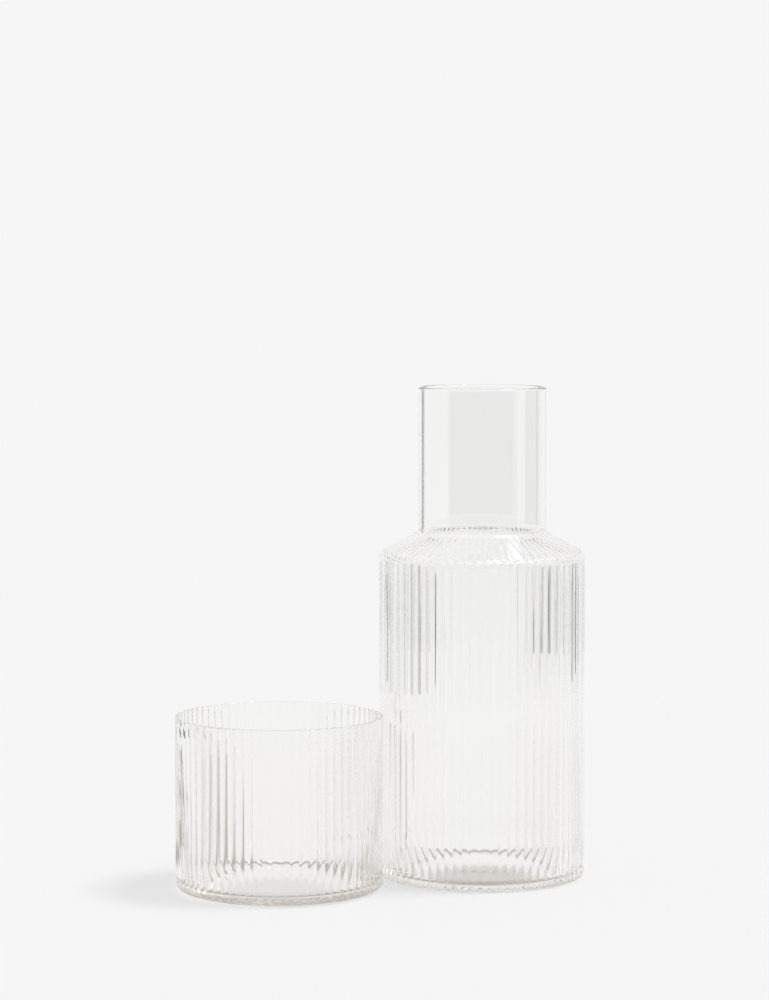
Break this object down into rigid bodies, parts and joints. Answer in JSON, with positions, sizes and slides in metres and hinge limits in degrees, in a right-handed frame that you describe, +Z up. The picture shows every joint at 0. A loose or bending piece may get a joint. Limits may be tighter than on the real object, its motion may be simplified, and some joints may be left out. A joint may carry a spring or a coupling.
{
  "type": "bedside carafe with tumbler",
  "caption": "Clear rippled-glass bedside carafe with a straight smooth neck, and the low rippled tumbler that stands beside it and can cover the neck.",
  "frame": {"origin": "centre of the carafe's flat foot, at the height of the table", "axes": "+Z up along the carafe's axis; -Y is the side that the picture shows; the tumbler stands towards -X and a little towards -Y"},
  "size_m": [0.1714, 0.1178, 0.207],
  "materials": {
    "carafe_glass": "clear, polished, rippled body",
    "tumbler_glass": "clear, polished, rippled wall"
  },
  "bodies": {
    "carafe": {"carafe": "carafe_glass"},
    "tumbler": {"tumbler": "tumbler_glass"}
  },
  "joints": [
    {"name": "tumbler_lift", "type": "slide", "parent": "carafe", "child": "tumbler", "axis": [0, 0, 1], "range_m": [0, 0.24]}
  ]
}
